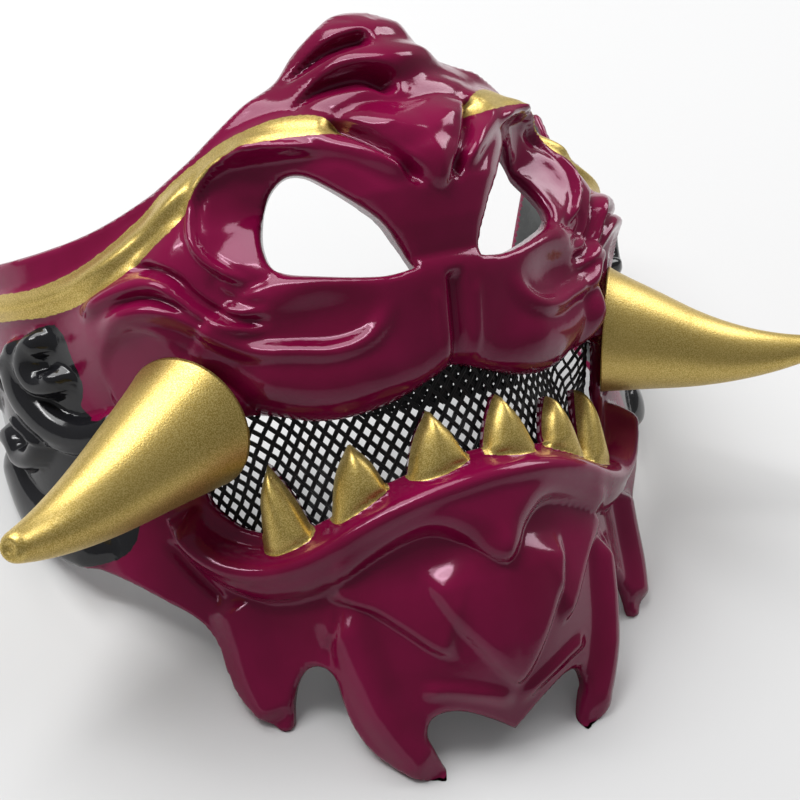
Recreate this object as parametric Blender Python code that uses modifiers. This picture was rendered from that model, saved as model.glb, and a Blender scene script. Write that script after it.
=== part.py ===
"""Samurai devil mask: a thin moulded face lying on its back rim.

The face is drawn flat, as an unrolled pattern of angles round the head and heights up the face. Its relief is a
radius over that pattern, built from a plain head form, then raised and sunken areas, ridges and lapped edges.
The pattern is trimmed to its outline, wrapped round the head, given its wall and mirrored. The tusks stand in
flat seats in the cheeks, and the netting lies behind the mouth.
"""

from math import cos, pi, radians, sin

import bmesh
import bpy
import numpy as np
from mathutils import Vector

# Driving sizes, in metres
FACE_HEIGHT = 0.249  # chin point to crown, measured up the face
WALL = 0.003  # thickness of the moulded shell
CLEARANCE = 0.0003  # gap between pieces that touch
TUSK_BASE_RADIUS = 0.0225
TUSK_TIP_RADIUS = 0.0042
TUSK_REACH = 0.0748  # straight from the middle of the seat to the tip
NET_THICKNESS = 0.001
NET_MARGIN = 0.004  # how far the netting runs on behind the shell round the mouth
NET_SETBACK = 0.0026  # room left for glue between the netting and the shell's inner face
REST_TILT = 40.0  # degrees between the face and the table when the mask lies down

# The carving is measured in shares of the face: 249 units from chin to crown
UNIT = FACE_HEIGHT / 249.0
AXIS_DEPTH = 90.0  # units from the face's origin plane back to the axis of the head
ARC = 1.833  # units of pattern width for each degree round the head
GRID = 3.0  # units between pattern lines
KEPT_FACES = 0.30  # share of the pattern's triangles left where the form is plain
SNAP = 0.38  # share of a grid step within which a point moves onto the outline

# Outlines of the half face, each run smooth and its ends sharp: (degrees round the head, units up the face)
OUTER_RUNS = (
    ((-8, 249), (0, 250), (5, 248.5), (10, 243.5), (15, 238), (20, 230), (27, 224), (34, 217), (42, 209),
     (50, 203.5), (60, 198.5), (70, 197), (80, 197.8), (86, 200), (89.5, 208), (91, 218), (92.5, 226)),
    ((92.5, 226), (95.5, 222), (99, 209), (106, 188), (110, 174), (111.5, 163.5)),
    ((111.5, 163.5), (108, 152), (104, 141.6), (100, 131.5), (96, 121.4), (92, 112), (86, 103), (80, 96.5),
     (74, 91), (68, 84.5), (62, 76), (57.5, 69), (55, 61), (54.3, 51), (53, 42), (50, 34.5), (46.5, 27.5)),
    ((46.5, 27.5), (44.6, 29), (43.4, 36), (41.5, 42.5), (38.5, 46.8), (35.5, 46.5), (33.6, 42.5), (33.2, 35),
     (32.4, 26), (30, 16.5), (26, 9), (21.5, 3.5), (17.4, 0)),
    ((17.4, 0), (16.7, 5), (17.8, 12), (18.7, 18), (17.2, 22.8), (14, 24), (10, 22), (5, 17), (0, 11.2)),
    ((0, 11.2), (-8, 6), (-16, 20)),
)
EYE_RUNS = (
    ((5.5, 162), (10, 161.5), (15, 163.3), (20, 166), (24.5, 168.8), (26.8, 172), (27.7, 178), (27.6, 184),
     (26.6, 190), (24.6, 195.3), (21.6, 198.2), (18.6, 197), (15.5, 192), (12, 185), (9, 178), (7, 170),
     (5.5, 162)),
)
MOUTH_RUNS = (
    ((-6, 128), (0, 131), (4, 128.8), (9, 125.5), (14, 123.2), (20, 122.2), (26, 123.4), (32, 127), (38, 130)),
    ((38, 130), (45, 124), (50, 113), (50.5, 106), (47.5, 98.5), (43.5, 93.5), (36, 90), (28, 92.5),
     (21, 97), (13, 100.6), (6, 102.6), (0, 103.5), (-6, 102.6)),
    ((-6, 102.6), (-6, 128)),
)
TEETH = (  # (tip, base inside, base outside), bases well inside the lip
    ((6.6, 119.6), (1.4, 99), (13.2, 97)),
    ((22.3, 115.6), (15.8, 95), (28.6, 90)),
    ((38.6, 113.6), (31.2, 87), (44.6, 86)),
)
TOOTH_SWELL = 1.3  # degrees by which a tooth's sides bulge halfway up

# The plain head form: radius on the middle line at each height, and how it falls away sideways
MIDDLE_PROFILE = ((-10, 90), (0, 90), (11, 91), (27, 98), (42, 102), (64, 106), (100, 106), (122, 106),
                  (131, 107.5), (147, 112.5), (155, 115), (165, 118.5), (175, 122), (186, 124), (196, 121.5),
                  (206, 116.5), (216, 111), (228, 103), (238, 94), (250, 84), (262, 78))
SIDE_RADIUS = 94.0
TEMPLE_RISE = 26.0  # more radius at the side walls than in front
REAR_RISE = 2.0

# The tusk seat: a flat in the cheek, its middle and the way it faces, in face units across, up and out
SEAT_MIDDLE = (78.3, 131.4, -18.5)
SEAT_FACING = (0.790, -0.283, 0.544)
TUSK_BEARING = (65.2, -22.7, 29.0)  # from the seat's middle towards the tip
TUSK_LEAVES = (0.87, -0.44, 0.10)  # heading at the seat
TUSK_ENDS = (0.74, -0.02, 0.67)  # heading at the tip
TUSK_BEND = 1.07  # how strongly both headings are held
TUSK_RINGS = 12
TUSK_SIDES = 20
SEAT_RUNS = (
    ((60.5, 128), (61.5, 140), (60.5, 150), (58.8, 157), (56, 161.5), (52.5, 163.8), (49, 163.2), (46.3, 160),
     (44, 154), (42, 147.5), (39.4, 141), (37, 134), (37, 124), (40.5, 114), (47, 107.5), (54, 108), (59, 116),
     (60.5, 128)),
)


def smooth_run(points, steps=6):
    """A curve through the points: each span is a cubic whose slopes follow the neighbouring points."""
    points = np.array(points, float)
    before = np.vstack([2 * points[0] - points[1], points[:-1]])
    after = np.vstack([points[1:], 2 * points[-1] - points[-2]])
    slopes = (after - before) / 2
    t = np.linspace(0, 1, steps, endpoint=False)[None, :, None]
    start, end = points[:-1, None], points[1:, None]
    leave, arrive = slopes[:-1, None], slopes[1:, None]
    curve = ((2 * t**3 - 3 * t**2 + 1) * start + (t**3 - 2 * t**2 + t) * leave
             + (3 * t**2 - 2 * t**3) * end + (t**3 - t**2) * arrive)
    return np.vstack([curve.reshape(-1, 2), points[-1:]])


def on_pattern(runs):
    """Smooth runs joined end to end, with degrees turned into pattern widths."""
    line = np.vstack([smooth_run(run) if len(run) > 2 else np.array(run, float) for run in runs])
    return line * (ARC, 1.0)


def to_line(points, line):
    """Distance from each point to the line, the share of the line's length there, and the side it is on."""
    start, step = line[:-1], np.diff(line, axis=0)
    lengths = np.hypot(step[:, 0], step[:, 1]) + 1e-9
    reached = np.concatenate([[0.0], np.cumsum(lengths)])
    offset = points[:, None] - start[None]
    share = np.clip((offset * step).sum(2) / lengths**2, 0, 1)
    gap = offset - share[..., None] * step
    away = np.hypot(gap[..., 0], gap[..., 1])
    nearest = away.argmin(1)
    row = np.arange(len(points))
    side = step[nearest, 0] * offset[row, nearest, 1] - step[nearest, 1] * offset[row, nearest, 0]
    along = (reached[nearest] + share[row, nearest] * lengths[nearest]) / reached[-1]
    return away[row, nearest], along, np.sign(side)


def inside(points, loop):
    """Signed distance to a closed loop, positive inside: the distance to it, with the sign of a crossing count."""
    closed = np.vstack([loop, loop[:1]])
    away = to_line(points, closed)[0]
    x, y = points[:, 0, None], points[:, 1, None]
    x0, y0, x1, y1 = closed[:-1, 0], closed[:-1, 1], closed[1:, 0], closed[1:, 1]
    rise = np.where(y1 == y0, 1e-9, y1 - y0)
    crossed = ((y0 > y) != (y1 > y)) & (x < (x1 - x0) * (y - y0) / rise + x0)
    return np.where(crossed.sum(1) % 2 == 1, away, -away)


def ease(t):
    t = np.clip(t, 0, 1)
    return t * t * (3 - 2 * t)


def rounded(t):
    """A quarter round: 0 at 0, steep at first, level at 1."""
    t = np.clip(t, 0, 1)
    return np.sqrt(np.maximum(1 - (1 - t) ** 2, 0))


def bump(t):
    return np.maximum(1 - t * t, 0) ** 2


def mound(points, middle, reach, height):
    """A soft oval swelling: (degrees, units) of its middle, its half axes in units, and its height."""
    away = np.hypot((points[:, 0] - middle[0] * ARC) / reach[0], (points[:, 1] - middle[1]) / reach[1])
    return height * bump(away)


def ridge(points, path, width, height, taper=0.15):
    """A rounded ridge or groove along a path, fading out at both ends."""
    away, along, _ = to_line(points, on_pattern((path,)))
    ends = ease(along / taper) * ease((1 - along) / taper) if taper else 1.0
    return height * bump(away / width) * ends


def lap(points, path, height, edge, fade, taper=0.15):
    """A lapped edge: the right-hand side of the path stands up with a rounded edge and sinks back behind it."""
    away, along, side = to_line(points, on_pattern((path,)))
    ends = ease(along / taper) * ease((1 - along) / taper) if taper else 1.0
    raised = rounded(away / edge) * np.exp(-((away / fade) ** 2))
    return np.where(side < 0, height * raised * ends, 0.0)


def pad(points, runs, height, edge):
    """A raised or sunken area with a rounded edge."""
    return height * rounded(inside(points, on_pattern(runs)) / edge)


def head_form(points):
    """Radius of the plain head: the middle profile, falling away sideways to a side wall that widens backwards."""
    angle, height = points[:, 0] / ARC, points[:, 1]
    knots = np.array(MIDDLE_PROFILE, float)
    middle = np.interp(height, knots[:, 0], knots[:, 1])
    spread = 30 + 20 * bump((height - 165) / 48) - 9 * ease((height - 205) / 25)
    side = (SIDE_RADIUS + TEMPLE_RISE * ease((np.abs(angle) - 38) / 54)
            + REAR_RISE * ease((np.abs(angle) - 90) / 20))
    return side + (middle - SIDE_RADIUS) * np.exp(-((angle / spread) ** 2))


def seat_radius(points):
    """Radius at which a ray from the head's axis meets the plane of the tusk seat."""
    angle, height = np.radians(points[:, 0] / ARC), points[:, 1]
    across, up, out = SEAT_FACING
    reach = (across * SEAT_MIDDLE[0] + up * (SEAT_MIDDLE[1] - height) + out * (SEAT_MIDDLE[2] + AXIS_DEPTH))
    return reach / (across * np.sin(angle) + out * np.cos(angle))


def forehead(points):
    """Three stacked lobes over a narrow wedge that ends between the eyes."""
    lift = mound(points, (0, 236), (32, 24), 7.0)
    lift += mound(points, (0, 243), (22, 9), 3.0)
    lift += mound(points, (19, 238), (22, 17), -9.0)
    lift += mound(points, (0, 229), (28, 10), 3.5)
    lift += ridge(points, ((20, 228), (14, 234.5), (8, 239), (1, 239.8)), 4.5, -7.0)
    lift += ridge(points, ((20, 217), (15, 222), (9, 222.8), (4, 221.5), (1, 218.5)), 6.0, -8.0)
    lift += ridge(points, ((-16, 212), (-8, 213.5), (0, 211.5), (8, 213.5), (16, 212)), 5.0, 3.0, 0.3)
    lift += pad(points, (((-9, 212), (0, 213), (9, 212), (7, 202), (4.5, 193), (0, 182), (-4.5, 193),
                          (-7, 202), (-9, 212)),), 5.5, 7.0)
    return lift


def brow(points):
    """The gold band over each eye, a fold below its inner end, and the rim round the socket."""
    lift = ridge(points, ((12, 205.5), (16, 210.8), (21, 213), (27, 211.6), (33, 207.6), (38.5, 201), (44, 194),
                          (53, 185.8), (63, 181.6), (74, 181.4), (85, 184.5), (97, 188)), 6.6, 4.6, 0.05)
    lift += ridge(points, ((3, 191), (7, 195.5), (12, 201), (18, 206), (25, 209.5), (31, 208.5)), 6.5, 5.0, 0.2)
    lift += ridge(points, ((3, 193.5), (7, 200), (11, 206.5)), 2.6, -4.5, 0.2)
    lift += mound(points, (41, 192), (15, 26), 4.0)
    return lift


def eye_socket(points):
    """A funnel round the eye hole, deepest at its outer wall."""
    funnel = (((4.5, 162), (9, 160), (16, 161.5), (23, 165), (28.5, 169.5), (33, 175), (36.8, 181.5), (38.6, 189),
               (38, 197), (35, 204.5), (30, 208.8), (24, 209), (17, 203.5), (11, 194), (7.5, 184), (5, 172),
               (4.5, 162)),)
    return pad(points, funnel, -10.5, 15.0) + ridge(points, ((30, 168), (37, 178), (40, 189), (39, 200), (34, 208)),
                                                   5.0, 3.0, 0.3)


def cheek(points):
    """The swelling over the tusk, its two folds, and the hollow under the eye."""
    lift = mound(points, (49, 163), (38, 36), 11.0)
    lift += ridge(points, ((62, 172), (55, 176.5), (49, 177), (44.5, 171), (41, 163), (36.5, 156.5), (31, 154)),
                  5.5, 3.2)
    lift += ridge(points, ((50, 184), (45, 179.5), (41.5, 173), (38, 165.5), (33.5, 159.5), (28, 156.5)), 3.6, -4.0)
    lift += ridge(points, ((58, 165), (52, 168), (47, 166.5), (42.5, 161), (38.5, 154), (33, 149.5), (26, 145.5),
                           (20, 142.5), (15, 144), (11.8, 149.5), (10.3, 157)), 4.6, 3.0)
    lift += mound(points, (21, 155), (19, 10), -5.5)
    return lift


def upper_lip(points):
    """The heavy upper lip, parted on the middle line."""
    roll = (((-14, 123.5), (-8, 126), (0, 131), (4, 128.8), (9, 125.5), (14, 123.2), (20, 122.2), (26, 123.4),
             (32, 127), (38, 131)),
            ((38, 131), (44, 150), (30, 168), (10, 165), (-14, 165)), ((-14, 165), (-14, 123.5)))
    lift = pad(points, roll, 4.5, 9.0)
    lift += ridge(points, ((6, 139), (14, 134), (23, 133), (32, 138), (40, 146)), 15.0, 5.5, 0.3)
    lift += ridge(points, ((0, 158), (0, 145), (0, 128)), 3.2, -3.2, 0.1)
    return lift


def lower_lip(points):
    """The lower lip: a thick roll from corner to corner, pointed below in the middle, steep towards the teeth."""
    roll = (((-12, 80.8), (-6, 75.5), (0, 66.5), (6, 75.5), (10, 80.2), (14, 80.6), (20, 77.5), (27, 72.5),
             (34, 69.4), (42, 69.8), (48.5, 75), (53.5, 83), (56.8, 92), (58.2, 103)),
            ((58.2, 103), (52.5, 105), (50.5, 97), (46.5, 90.5), (40, 87), (33, 87.8), (26, 92), (18, 96.8),
             (9, 100.2), (0, 101.4), (-12, 100)), ((-12, 100), (-12, 80.8)))
    lift = pad(points, roll, 8.5, 8.5)
    lift += ridge(points, ((-8, 95.5), (0, 96.3), (12, 94.3), (22, 89.5), (31, 84), (39, 82), (46, 85), (51, 92),
                           (54.5, 102)), 6.0, 3.4, 0.05)
    return lift


def tooth_outline(tip, left, right):
    """A pointed arch: straight base, two bulging sides."""
    halfway = [((tip[0] + end[0]) / 2 + swell, (tip[1] + end[1]) / 2)
               for end, swell in ((left, -TOOTH_SWELL), (right, TOOTH_SWELL))]
    return on_pattern(((left, halfway[0], tip), (tip, halfway[1], right)))


def teeth(points):
    """Each tooth stands forward of the netting, highest along its middle."""
    lift = 0.0
    for tip, left, right in TEETH:
        lift = lift + 5.0 * rounded(inside(points, tooth_outline(tip, left, right)) / 6.5)
    return lift


def chin(points):
    """Leaves lapped over one another under the lip, and the swelling of each flame."""
    lift = mound(points, (0, 50), (40, 34), 4.0)
    lift += lap(points, ((15, 70), (12, 56), (8, 43), (0, 26.5), (-8, 43)), 3.6, 4.0, 26.0, 0.12)
    lift += lap(points, ((30, 66), (23, 60), (19, 50), (14.5, 42.5), (10.5, 40)), 3.0, 3.5, 14.0)
    lift += ridge(points, ((20, 33), (13, 28), (6, 21), (0, 15.5)), 5.0, 2.2, 0.2)
    lift += ridge(points, ((29, 62), (27.5, 45), (26, 28), (22, 12), (18, 3)), 11.0, 5.0, 0.12)
    lift += ridge(points, ((50, 74), (49, 60), (48.5, 45), (46.5, 32)), 11.0, 4.0, 0.12)
    return lift


def ear(points):
    """Scroll ornament: a hook with a curled end, a second curl behind it and a leaf running down to the rim."""
    lift = ridge(points, ((66, 157), (71, 155.5), (74.5, 160), (72, 166.5), (66, 167)), 5.5, 6.0, 0.1)
    lift += ridge(points, ((70, 168), (76, 164), (77.5, 154), (75, 145), (70.5, 138), (65, 135), (59.5, 137.5),
                           (55.5, 144)), 8.0, 6.0, 0.08)
    lift += ridge(points, ((81, 137), (83, 132.5), (79, 128.5), (75.5, 133), (77, 140.5), (84, 145.5), (92, 142)),
                  6.5, 4.5, 0.1)
    lift += ridge(points, ((95, 140), (95, 129), (88, 114), (78, 103), (69, 96)), 11.0, 4.5, 0.15)
    return lift


def carved_radius(points):
    """The head form with everything carved on it, and the flat tusk seat cut in last."""
    radius = head_form(points)
    for carve in (forehead, brow, eye_socket, cheek, upper_lip, lower_lip, teeth, chin, ear):
        radius = radius + carve(points)
    seat = rounded(inside(points, on_pattern(SEAT_RUNS)) / 2.5)
    return radius + (seat_radius(points) - radius) * seat


def material(points):
    """Signed distance to the trimmed edge: inside the outline, outside the eye, outside the mouth or on a tooth."""
    tooth = np.max([inside(points, tooth_outline(*tooth)) for tooth in TEETH], axis=0)
    mouth = np.maximum(-inside(points, on_pattern(MOUTH_RUNS)), tooth)
    eye = -inside(points, on_pattern(EYE_RUNS))
    return np.minimum(np.minimum(inside(points, on_pattern(OUTER_RUNS)), eye), mouth)


def wrapped(points, radius):
    """Pattern points rolled round the head's axis, in metres, then laid back at the resting tilt."""
    angle = np.radians(points[:, 0] / ARC)
    across, up, out = radius * np.sin(angle), points[:, 1], radius * np.cos(angle) - AXIS_DEPTH
    lean = radians(REST_TILT)
    return UNIT * np.column_stack([across, up * cos(lean) - out * sin(lean), up * sin(lean) + out * cos(lean)])


def to_table(face_point):
    """A point given across, up and out of the face, in units, as it lies on the table in metres."""
    across, up, out = face_point
    lean = radians(REST_TILT)
    return UNIT * Vector((across, up * cos(lean) - out * sin(lean), up * sin(lean) + out * cos(lean)))


def trimmed_pattern(edge, width, height, step):
    """Grid triangles clipped to where edge(points) is positive. Points near the edge are first moved onto it."""
    columns, rows = np.arange(0, width + step, step), np.arange(height[0], height[1] + step, step)
    points = np.stack(np.meshgrid(columns, rows), -1).reshape(-1, 2)
    across, up = len(columns), len(rows)
    gap = edge(points)
    small = 0.05
    slope = np.column_stack([edge(points + (small, 0)) - gap, edge(points + (0, small)) - gap]) / small
    slope[points[:, 0] == 0, 0] = 0.0
    steep = (slope**2).sum(1)
    near = (np.abs(gap) < SNAP * step) & (steep > 0.3)
    points[near] -= (gap / np.maximum(steep, 0.3))[near, None] * slope[near]
    gap[near] = 0.0
    corner = (np.arange(up - 1)[:, None] * across + np.arange(across - 1)[None]).ravel()
    low, high = [corner, corner + 1, corner + across + 1], [corner, corner + across + 1, corner + across]
    faces, extra, made = [], [], {}

    def crossing(a, b):
        key = (min(a, b), max(a, b))
        if key not in made:
            made[key] = len(points) + len(extra)
            extra.append(points[a] + (points[b] - points[a]) * gap[a] / (gap[a] - gap[b]))
        return made[key]

    for face in np.vstack([np.column_stack(low), np.column_stack(high)]):
        inner = gap[face] >= 0
        if not (gap[face] > 0).any():
            continue
        loop = []
        for a, b, a_in, b_in in zip(face, np.roll(face, -1), inner, np.roll(inner, -1)):
            if a_in:
                loop.append(int(a))
            if a_in != b_in and gap[a] != 0 and gap[b] != 0:
                loop.append(crossing(int(a), int(b)))
        faces.append(loop)
    return np.vstack([points, np.array(extra)]) if extra else points, faces


def mesh_from(name, points, faces):
    """A mesh without the points that no face uses, triangulated."""
    mesh = bpy.data.meshes.new(name)
    mesh.from_pydata(points.tolist(), [], faces)
    shape = bmesh.new()
    shape.from_mesh(mesh)
    bmesh.ops.delete(shape, geom=[v for v in shape.verts if not v.link_faces], context="VERTS")
    bmesh.ops.triangulate(shape, faces=shape.faces)
    shape.to_mesh(mesh)
    shape.free()
    return mesh


def paint(name, colour, roughness, metallic=0.0):
    material_made = bpy.data.materials.new(name)
    material_made.use_nodes = True
    shader = material_made.node_tree.nodes["Principled BSDF"]
    shader.inputs["Base Color"].default_value = (*colour, 1.0)
    shader.inputs["Roughness"].default_value = roughness
    shader.inputs["Metallic"].default_value = metallic
    return material_made


def add_piece(name, mesh, finish, home, holder):
    piece = bpy.data.objects.new(name, mesh)
    mesh.materials.append(finish)
    mesh.shade_smooth()
    piece.parent = holder
    home.objects.link(piece)
    return piece


def add_modifier(piece, kind, **settings):
    modifier = piece.modifiers.new(kind.title(), kind)
    for key, value in settings.items():
        setattr(modifier, key, value)
    return modifier


def applied(piece):
    """The piece's modifiers made part of its mesh."""
    graph = bpy.context.evaluated_depsgraph_get()
    mesh = bpy.data.meshes.new_from_object(piece.evaluated_get(graph))
    piece.modifiers.clear()
    piece.data = mesh
    return mesh


def make_shell(home, holder):
    """The moulded face: trimmed pattern, thinned where plain, wrapped, mirrored and given its wall."""
    points, faces = trimmed_pattern(material, 112 * ARC, (-1.0, 251.0), GRID)
    mesh = mesh_from("mask_shell", wrapped(points, carved_radius(points)), faces)
    shell = add_piece("mask_shell", mesh, paint("magenta_gloss", (0.20, 0.006, 0.055), 0.12), home, holder)
    rim = shell.vertex_groups.new(name="plain")
    shape = bmesh.new()
    shape.from_mesh(mesh)
    plain = [v.index for v in shape.verts if not v.is_boundary]
    shape.free()
    rim.add(plain, 1.0, "REPLACE")
    add_modifier(shell, "DECIMATE", ratio=KEPT_FACES, vertex_group=rim.name)
    add_modifier(shell, "MIRROR", merge_threshold=0.0001)
    add_modifier(shell, "SOLIDIFY", thickness=WALL, offset=-1.0)
    settle(applied(shell))
    return shell


def settle(mesh):
    """What would reach below the table top is ground flat on it."""
    for vertex in mesh.vertices:
        vertex.co.z = max(vertex.co.z, 0.0)


def tusk_ring(share):
    """Middle, heading and radius of the tusk at a share of its length: a cubic from the seat to the tip."""
    seat = Vector(SEAT_MIDDLE) * UNIT
    facing = Vector(SEAT_FACING).normalized()
    start = seat + facing * CLEARANCE
    end = start + Vector(TUSK_BEARING).normalized() * TUSK_REACH
    leave, arrive = (Vector(way).normalized() * TUSK_REACH * TUSK_BEND for way in (TUSK_LEAVES, TUSK_ENDS))
    t = share
    point = ((2 * t**3 - 3 * t**2 + 1) * start + (t**3 - 2 * t**2 + t) * leave
             + (3 * t**2 - 2 * t**3) * end + (t**3 - t**2) * arrive)
    heading = ((6 * t**2 - 6 * t) * (start - end) + (3 * t**2 - 4 * t + 1) * leave + (3 * t**2 - 2 * t) * arrive)
    squared = float(ease(t / 0.35))
    heading = facing.lerp(heading.normalized(), squared).normalized()
    return point, heading, TUSK_BASE_RADIUS + (TUSK_TIP_RADIUS - TUSK_BASE_RADIUS) * t**0.92


def make_tusk(side, home, holder, finish):
    """A tapering bent horn: rings along the route, the first flat on the seat, closed by a blunt tip."""
    shape = bmesh.new()
    loops = []
    for ring in range(TUSK_RINGS + 1):
        point, heading, radius = tusk_ring(ring / TUSK_RINGS)
        upright = (Vector((0, 1, 0)) - heading * heading.y).normalized()
        sideways = heading.cross(upright)
        loop = []
        for corner in range(TUSK_SIDES):
            turn = 2 * pi * corner / TUSK_SIDES
            across, up, out = (point + radius * (cos(turn) * upright + sin(turn) * sideways)) / UNIT
            loop.append(shape.verts.new(to_table((side * across, up, out))))
        loops.append(loop)
    for one, two in zip(loops, loops[1:]):
        for corner in range(TUSK_SIDES):
            following = (corner + 1) % TUSK_SIDES
            shape.faces.new((one[corner], one[following], two[following], two[corner]))
    shape.faces.new(loops[0])
    shape.faces.new(loops[-1])
    bmesh.ops.recalc_face_normals(shape, faces=shape.faces)
    name = "tusk_left" if side > 0 else "tusk_right"
    mesh = bpy.data.meshes.new(name)
    shape.to_mesh(mesh)
    shape.free()
    return add_piece(name, mesh, finish, home, holder)


def make_netting(home, holder):
    """The netting's solid: a thin curved sheet close behind the mouth, a margin larger than the opening."""
    margin = NET_MARGIN / UNIT

    def reach(points):
        return inside(points, on_pattern(MOUTH_RUNS)) + margin

    points, faces = trimmed_pattern(reach, 62 * ARC, (84.0, 142.0), 3 * GRID)
    seat = ease((inside(points, on_pattern(SEAT_RUNS)) + 4) / 8)
    radius = head_form(points)
    radius = radius + (seat_radius(points) - radius) * seat - (WALL + CLEARANCE + NET_SETBACK) / UNIT
    mesh = mesh_from("mouth_netting", wrapped(points, radius), faces)
    netting = add_piece("mouth_netting", mesh, paint("black_net", (0.01, 0.01, 0.01), 0.6), home, holder)
    add_modifier(netting, "MIRROR", merge_threshold=0.0001)
    add_modifier(netting, "SOLIDIFY", thickness=NET_THICKNESS, offset=-1.0)
    applied(netting)
    return netting


def main():
    for thing in list(bpy.data.objects):
        bpy.data.objects.remove(thing)
    home = bpy.data.collections.new("samurai_devil_mask")
    bpy.context.scene.collection.children.link(home)
    holder = bpy.data.objects.new("mask", None)
    home.objects.link(holder)
    shell = make_shell(home, holder)
    gold = paint("gold_paint", (0.52, 0.36, 0.10), 0.38, 0.85)
    for side in (-1, 1):
        make_tusk(side, home, holder, gold)
    make_netting(home, holder)
    depths = [vertex.co.y for vertex in shell.data.vertices]
    holder.location.y = -(min(depths) + max(depths)) / 2


main()
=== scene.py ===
from math import cos, pi, radians, sin

import bpy
import numpy as np
from mathutils import Matrix, Vector


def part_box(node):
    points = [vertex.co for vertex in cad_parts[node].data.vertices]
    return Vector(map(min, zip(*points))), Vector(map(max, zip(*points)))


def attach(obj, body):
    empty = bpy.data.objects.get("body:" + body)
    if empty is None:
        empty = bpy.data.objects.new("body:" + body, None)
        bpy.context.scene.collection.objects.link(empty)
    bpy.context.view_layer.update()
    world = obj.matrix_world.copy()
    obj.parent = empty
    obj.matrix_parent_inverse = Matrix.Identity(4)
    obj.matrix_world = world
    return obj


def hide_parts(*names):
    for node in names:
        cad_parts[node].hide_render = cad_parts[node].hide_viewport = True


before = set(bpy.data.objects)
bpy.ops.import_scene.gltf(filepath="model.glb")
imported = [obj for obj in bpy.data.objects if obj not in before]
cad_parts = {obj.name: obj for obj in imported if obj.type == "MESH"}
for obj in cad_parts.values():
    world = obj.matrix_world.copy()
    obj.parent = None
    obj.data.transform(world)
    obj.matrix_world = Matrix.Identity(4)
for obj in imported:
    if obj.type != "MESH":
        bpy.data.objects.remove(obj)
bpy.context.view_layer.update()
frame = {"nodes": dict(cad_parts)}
print("frame loaded")

# The carving is drawn flat, as in the solid: degrees round the head, and units up the face from chin on.
face = {
    "height": 0.249,  # metres from chin point to crown
    "units": 249.0,
    "axisDepth": 90.0,  # units back to the axis of the head
    "arc": 1.833,  # units of pattern width for each degree
    "tilt": 40.0,  # degrees that the face leans back on the table
    "wall": 3.0,  # units
    "thinnest": 1.6,
    "passes": 3,  # of spreading and of smoothing, for the inside
    "step": 1.15,  # units between pattern lines
    "snap": 0.38,  # share of a step within which a point moves onto the outline
    "level": 0.3,  # a slope squared below this one isn't followed to the outline
    "width": 112.0,  # degrees
    "low": -1.0,
    "high": 251.0,
}
unit = face["height"] / face["units"]
pairsAtOnce = 1500000  # points times spans that are worked out together


def ease(t):  # from 0 to 1 with level ends: t squared times (3 less twice t)
    t = np.clip(t, 0, 1)
    return t * t * (3 - 2 * t)


def rounded(t):  # a quarter circle: steep at first, level at 1
    t = np.clip(t, 0, 1)
    return np.sqrt(np.maximum(1 - (1 - t) ** 2, 0))


def bump(t):  # from 1 down to 0 at t = 1: (1 less t squared), squared
    return np.maximum(1 - t * t, 0) ** 2


def softened(away, by):  # a distance that starts level as a hyperbola does, so that no edge is ragged
    return np.sqrt(np.maximum(away, 0) ** 2 + by**2) - by


def smoothRun(points, steps=6):  # each span is a cubic whose slopes follow the neighbouring points
    points = np.array(points, float)
    before = np.vstack([2 * points[0] - points[1], points[:-1]])
    after = np.vstack([points[1:], 2 * points[-1] - points[-2]])
    slopes = (after - before) / 2
    t = np.linspace(0, 1, steps, endpoint=False)[None, :, None]
    start, end = points[:-1, None], points[1:, None]
    leave, arrive = slopes[:-1, None], slopes[1:, None]
    curve = ((2 * t**3 - 3 * t**2 + 1) * start + (t**3 - 2 * t**2 + t) * leave
             + (3 * t**2 - 2 * t**3) * end + (t**3 - t**2) * arrive)
    return np.vstack([curve.reshape(-1, 2), points[-1:]])


def onPattern(runs):  # smooth runs joined end to end, degrees turned into pattern widths
    line = np.vstack([smoothRun(run) if len(run) > 2 else np.array(run, float) for run in runs])
    return line * (face["arc"], 1.0)


def toLine(points, line):
    # Each point is dropped square onto every span, and the nearest counts. The results are the distance, the
    # share of the line's length there, and the side of the line.
    start, step = line[:-1], np.diff(line, axis=0)
    lengths = np.hypot(step[:, 0], step[:, 1]) + 1e-9
    reached = np.concatenate([[0.0], np.cumsum(lengths)])
    found = []
    for part in np.array_split(points, max(1, len(points) * len(start) // pairsAtOnce)):
        offset = part[:, None] - start[None]
        share = np.clip((offset * step).sum(2) / lengths**2, 0, 1)
        gap = offset - share[..., None] * step
        away = gap[..., 0] ** 2 + gap[..., 1] ** 2
        nearest = away.argmin(1)
        row = np.arange(len(part))
        side = step[nearest, 0] * offset[row, nearest, 1] - step[nearest, 1] * offset[row, nearest, 0]
        along = (reached[nearest] + share[row, nearest] * lengths[nearest]) / reached[-1]
        found.append(np.column_stack([np.sqrt(away[row, nearest]), along, np.sign(side)]))
    return np.vstack(found).T


def inside(points, loop):  # signed distance to a closed loop, positive inside by a crossing count
    closed = np.vstack([loop, loop[:1]])
    away = toLine(points, closed)[0]
    crossings = np.zeros(len(points), int)
    for (x0, y0), (x1, y1) in zip(closed[:-1], closed[1:]):
        if y0 == y1:
            continue
        spans = (y0 > points[:, 1]) != (y1 > points[:, 1])
        crossings += spans & (points[:, 0] < (x1 - x0) * (points[:, 1] - y0) / (y1 - y0) + x0)
    return np.where(crossings % 2 == 1, away, -away)


def mound(points, middle, reach, height):  # a soft oval swelling, reach in units
    across = (points[:, 0] - middle[0] * face["arc"]) / reach[0]
    return height * bump(np.hypot(across, (points[:, 1] - middle[1]) / reach[1]))


def fading(along, taper):  # from 0 up to 1 over the taper at both ends
    return ease(along / taper) * ease((1 - along) / taper) if taper else 1.0


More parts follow.
